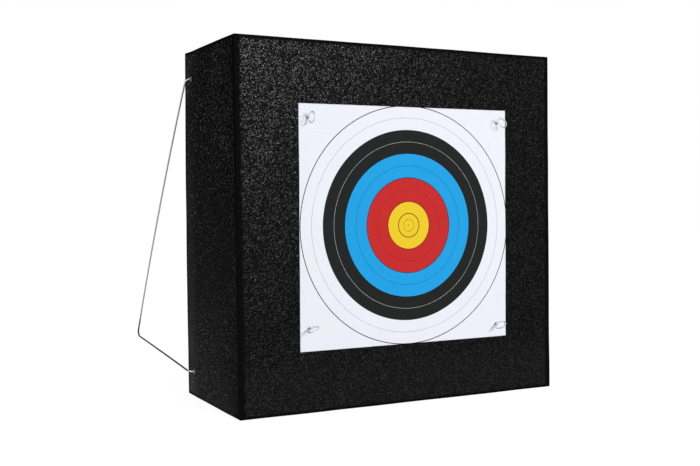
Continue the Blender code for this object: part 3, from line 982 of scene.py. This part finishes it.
pin_finish = Finish("clear plastic")
flow = pin_finish.noise(pin_finish.place(), FLOWS, detail=2.0)
edge = pin_finish.node("LayerWeight", inputs={"Blend": 0.5}, output="Facing").rise(0.35, 0.95)
clear = pin_finish.blend(flow, HAZY_PLASTIC, CLEAR_PLASTIC)
pin_shader = pin_finish.node("BsdfPrincipled", inputs={
    "Base Color": pin_finish.blend(edge, clear, PLASTIC_EDGE),
    "Roughness": flow.rise(0.3, 0.7, 0.10, 0.22), "IOR": 1.46, "Transmission Weight": 0.80,
    "Normal": pin_finish.bump(flow, FLOW_DEPTH, 0.4),
})
clear_plastic = pin_finish.surface(pin_shader)
print("clear plastic:", len(pin_finish.tree.nodes), "nodes")

# %% Four pins, each turned its own way
for name, (x, z, turn) in PINS.items():
    mesh = pin_mesh.copy()
    mesh.transform(Matrix.Translation((x, PIN_SEAT, z)) @ Matrix.Rotation(pi / 2, 4, "X")
                   @ Matrix.Rotation(turn, 4, "Z"))
    mesh.materials.clear()
    mesh.shade_smooth()
    pin = bpy.data.objects.new(f"{name}_clear", mesh)
    scene.collection.objects.link(pin)
    dress(pin, clear_plastic, name, name)
print("pins:", ", ".join(PINS))

# %% [markdown]
# ## The wire legs
#
# Each leg is one length of 3 mm steel wire, bent by hand: out of the foam, round a tight bend, down and back
# in a long bowed run, round the foot, and forwards again into the lower hole. A Blender curve with a bevel
# would do, but its handles don't say how wide a bend is. So the path is made of straight ends, arcs of a
# given radius, and runs that stand off the straight line by a parabola, and the bar function above gives it
# its round section.

# %% Runs and arcs
LEG_PLANE = 0.3101
FOOT = (0.427, 0.0705)
WIRE_BEND_RADIUS = 0.0085
FOOT_BEND_RADIUS = 0.009
UPPER_BOW = 0.010
LOWER_BOW = -0.0005
SECTION_TILT = radians(27)
END_NARROWING = 0.75
END_SHARE = 0.005


def bowed_run(start, end, bow, count):
    """Points from start to end, off the straight line by 4 s (1 - s) times the bow at share s of the way.

    They stand off it square to X: if the line runs along (y, z), the bow runs along (-z, y).
    """
    _, y, z = unit(end - start)
    share = (np.arange(1, count + 1) / (count + 1))[:, None]
    return start + (end - start) * share + np.array([0.0, -z, y]) * (4 * bow * share * (1 - share))


def corner_arc(before, corner, after, radius, steps=14):
    """Points on the arc that touches both legs of a corner.

    Its centre lies on the line that halves the corner, radius / sin(half the angle) away, and the arc
    swings from one touching point to the other as a blend of two vectors by sines.
    """
    back, onward = unit(before - corner), unit(after - corner)
    half = np.arccos(np.clip(back @ onward, -1, 1)) / 2
    centre = corner + unit(back + onward) * radius / np.sin(half)
    start = corner + back * radius / np.tan(half) - centre
    finish = corner + onward * radius / np.tan(half) - centre
    swing = pi - 2 * half
    share = np.linspace(0, 1, steps + 1)[:, None]
    return centre + (np.sin((1 - share) * swing) * start + np.sin(share * swing) * finish) / np.sin(swing)


# %% The mesh of a leg
def leg_path(side):
    """The middle line of one leg, from the end in the upper hole to the end in the lower one."""
    inner, plane = side * (BLOCK_HALF_WIDTH - WIRE_IN_FOAM), side * LEG_PLANE
    top, low = [(WIRE_HOLE_Y, z) for z in WIRE_HOLES_Z.values()]
    top_end, top_corner, foot, low_corner, low_end = np.array([
        (inner, *top), (plane, *top), (plane, *FOOT), (plane, *low), (inner, *low),
    ])
    upper = bowed_run(top_corner, foot, UPPER_BOW, 60)
    lower = bowed_run(foot, low_corner, LOWER_BOW, 36)
    first_arc = corner_arc(top_end, top_corner, upper[0], WIRE_BEND_RADIUS)
    foot_arc = corner_arc(upper[-1], foot, lower[0], FOOT_BEND_RADIUS)
    last_arc = corner_arc(lower[-1], low_corner, low_end, WIRE_BEND_RADIUS)
    upper = upper[(upper[:, 2] < first_arc[-1, 2]) & (upper[:, 2] > foot_arc[0, 2])]
    lower = lower[(lower[:, 1] < foot_arc[-1, 1]) & (lower[:, 1] > last_arc[0, 1])]
    straight = np.linspace(0, 1, 8)[:, None]
    return np.concatenate([
        top_end + (first_arc[0] - top_end) * straight[:-1], first_arc, upper, foot_arc, lower, last_arc,
        last_arc[-1] + (low_end - last_arc[-1]) * straight[1:],
    ])


def leg_mesh(side, name):
    """A leg with slightly rounded ends: the first and last rings are narrower."""
    path = leg_path(side)
    radius = np.full(len(path) + 2, WIRE_RADIUS)
    radius[[0, -1]] = WIRE_RADIUS * END_NARROWING
    ends = [path[i] * (1 - END_SHARE) + path[j] * END_SHARE for i, j in ((0, 1), (-1, -2))]
    path = np.concatenate([path[:1], ends[:1], path[1:-1], ends[1:], path[-1:]])
    reference = np.array([0.0, np.cos(SECTION_TILT), -np.sin(SECTION_TILT)])
    return new_mesh(name, *capped_tube(bar_rings(path, radius, 20, reference)))


# %% [markdown]
# ### Bare steel wire
#
# The wire is zinc-plated steel. Its colour is lighter near the block, a painted highlight, and dark along the
# run near the ground, painted shade. Drawing it left very fine marks, which soften the reflections. The grey
# Specular Tint keeps its edges from turning white in the white room, where a thin wire would vanish.

# %% Steel for the wires and the washers
# The lighter zinc is a painted highlight and the darkest zinc is painted shade.
PLAIN_ZINC = (0.36, 0.36, 0.35, 1.0)
PAINTED_HIGHLIGHT_ZINC = (0.60, 0.60, 0.58, 1.0)
PAINTED_SHADE_ZINC = (0.02, 0.02, 0.02, 1.0)
WASHER_ZINC = (0.15, 0.15, 0.14, 1.0)
MARK_SHADE = (0.4, 0.4, 0.4, 1.0)
GREY_TINT = (0.5, 0.5, 0.5, 1.0)
MARKS, SPOTS = 700.0, 90.0   # of them to a metre
MARK_DEPTH = 0.00005
SPOT_REACH = 0.06
NEAR_GROUND_CLIMB = (0.11, 0.16, 1.0, 0.0)
NEAR_BLOCK_CLIMB = (0.089, 0.100, 1.0, 0.0)


def steel(name, plain, painted_highlight, painted_shade, roughness):
    """Zinc-plated steel: plain, with a painted highlight near the block and painted shade near the ground."""
    finish = Finish(name)
    place = finish.place()
    _, back, height = finish.split(place)
    marks = finish.noise(place, MARKS, detail=3.0, roughness=0.65)
    spots = finish.noise(place, SPOTS, detail=2.0)
    # Painted shade on the run near the ground, then a painted highlight near the block.
    near_ground = (height + spots * SPOT_REACH).rise(*NEAR_GROUND_CLIMB)
    colour = finish.blend(near_ground, plain, painted_shade)
    colour = finish.blend(back.rise(*NEAR_BLOCK_CLIMB), colour, painted_highlight)
    colour = finish.blend(marks.rise(0.4, 0.8, 0.0, 0.6), colour, MARK_SHADE, "MULTIPLY")
    shader = finish.node("BsdfPrincipled", inputs={
        "Base Color": colour, "Metallic": 1.0, "Roughness": marks.rise(0.3, 0.7, roughness, roughness + 0.15),
        "Specular Tint": GREY_TINT, "Normal": finish.bump(marks, MARK_DEPTH, 0.5),
    })
    return finish.surface(shader)


wire_steel = steel("zinc wire", PLAIN_ZINC, PAINTED_HIGHLIGHT_ZINC, PAINTED_SHADE_ZINC, 0.28)
washer_steel = steel("zinc washer", WASHER_ZINC, WASHER_ZINC, WASHER_ZINC, 0.42)
for side, leg_name in LEGS.items():
    dress(leg_mesh(side, f"{leg_name}_wire"), wire_steel, leg_name, leg_name)

# %% [markdown]
# ## The washers
#
# A washer is stamped from sheet, so its edges are rounder on the side away from the foam, which an evenly
# bevelled disc wouldn't show. Its profile is a small closed loop of points, turned about the wire's axis.

# %% Four washers
WASHER_BORE = 0.0018
WASHER_RIM = 0.0045
WASHER_GAP = 0.0003
WASHER_THICKNESS = 0.0008
WASHER_SOFT = 0.00022
WASHER_SIDES = 48


def washer_mesh(side, z, name):
    """A ring: its profile's radius lies square to X, and its height runs outwards along X."""
    soft, thick = WASHER_SOFT, WASHER_THICKNESS
    profile = [
        (WASHER_BORE, 0.0), (WASHER_RIM - soft / 2, 0.0), (WASHER_RIM, soft / 2), (WASHER_RIM, thick - soft),
        (WASHER_RIM - soft * 0.3, thick - soft * 0.3), (WASHER_RIM - soft, thick),
        (WASHER_BORE + soft, thick), (WASHER_BORE + soft * 0.3, thick - soft * 0.3),
        (WASHER_BORE, thick - soft),
    ]
    rings = turned(profile, WASHER_SIDES)
    out = side * (BLOCK_HALF_WIDTH + WASHER_GAP + rings[..., 2])
    points = np.stack([out, WIRE_HOLE_Y + rings[..., 0], z + rings[..., 1]], axis=-1).reshape(-1, 3)
    faces = grid_faces(len(profile), WASHER_SIDES, wrap_rows=True, wrap_columns=True)
    washer = new_mesh(name, points, [faces])
    washer.data.set_sharp_from_angle(angle=radians(50))
    return washer


for side, leg_name in LEGS.items():
    for level_name, z in WIRE_HOLES_Z.items():
        name = f"{leg_name.replace('leg', 'washer')}_{level_name}"
        dress(washer_mesh(side, z, f"{name}_ring"), washer_steel, leg_name, name)
